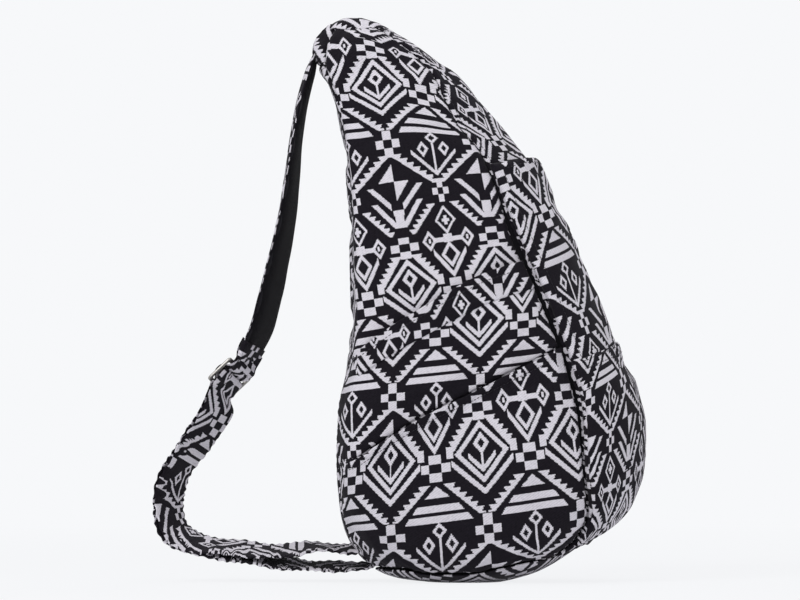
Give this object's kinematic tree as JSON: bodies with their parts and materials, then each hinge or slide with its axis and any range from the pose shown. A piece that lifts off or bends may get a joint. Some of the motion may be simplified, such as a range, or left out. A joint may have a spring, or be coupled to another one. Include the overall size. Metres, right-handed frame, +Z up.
{
  "type": "sling backpack",
  "caption": "Teardrop sling backpack in black and off-white patterned jacquard, with a padded strap, adjuster band, slip pockets, stuffed front pocket and main zip.",
  "frame": {"origin": "middle of the flat patch under the base, where the upright bag rests", "axes": "+Z up through the bag, +X from the strap towards the stuffed front pocket, +Y away from the near broad side with the slip pockets"},
  "size_m": [0.3882, 0.145, 0.4393],
  "materials": {
    "jacquard": "black and off-white jacquard weave, slightly nubby, matt",
    "lining": "black woven lining over soft stuffing",
    "strap_foam": "closed-cell foam in black cloth",
    "strap_lining": "smooth black microfibre",
    "pewter": "cast, softly polished",
    "zip_tape": "black herringbone tape",
    "zip_coil": "black coil, slight sheen",
    "zip_metal": "cast, softly polished"
  },
  "bodies": {
    "bag": {"apex_tab": "jacquard", "band_inner_strand": "jacquard", "band_outer_strand": "jacquard", "base_panel": "jacquard", "far_panel": "jacquard", "front_gusset": "jacquard", "front_pocket": "jacquard", "front_pouch": "jacquard", "lower_slip_pocket": "jacquard", "near_panel": "jacquard", "pocket_welt": "jacquard", "side_panel": "jacquard", "strap_cover": "jacquard", "strap_foam": "strap_foam", "strap_lining": "strap_lining", "strap_slider": "pewter", "stuffed_body": "lining", "upper_slip_pocket": "jacquard", "zip_coil": "zip_coil", "zip_tape": "zip_tape"},
    "zip_slider": {"zip_slider": "zip_metal"},
    "zip_pull": {"zip_pull": "zip_metal"}
  },
  "joints": [
    {"name": "zip_run", "type": "hinge", "parent": "bag", "child": "zip_slider", "pos_m": [0.40483, -0.3644, 0.38217], "axis": [-0.6594, -0.6736, -0.3338], "range_deg": [0, 6.65]},
    {"name": "pull_swing", "type": "hinge", "parent": "zip_slider", "child": "zip_pull", "pos_m": [0.02005, 0.0537, 0.3089], "axis": [0.8693, -0.3972, 0.2943], "range_deg": [0, 110]}
  ]
}
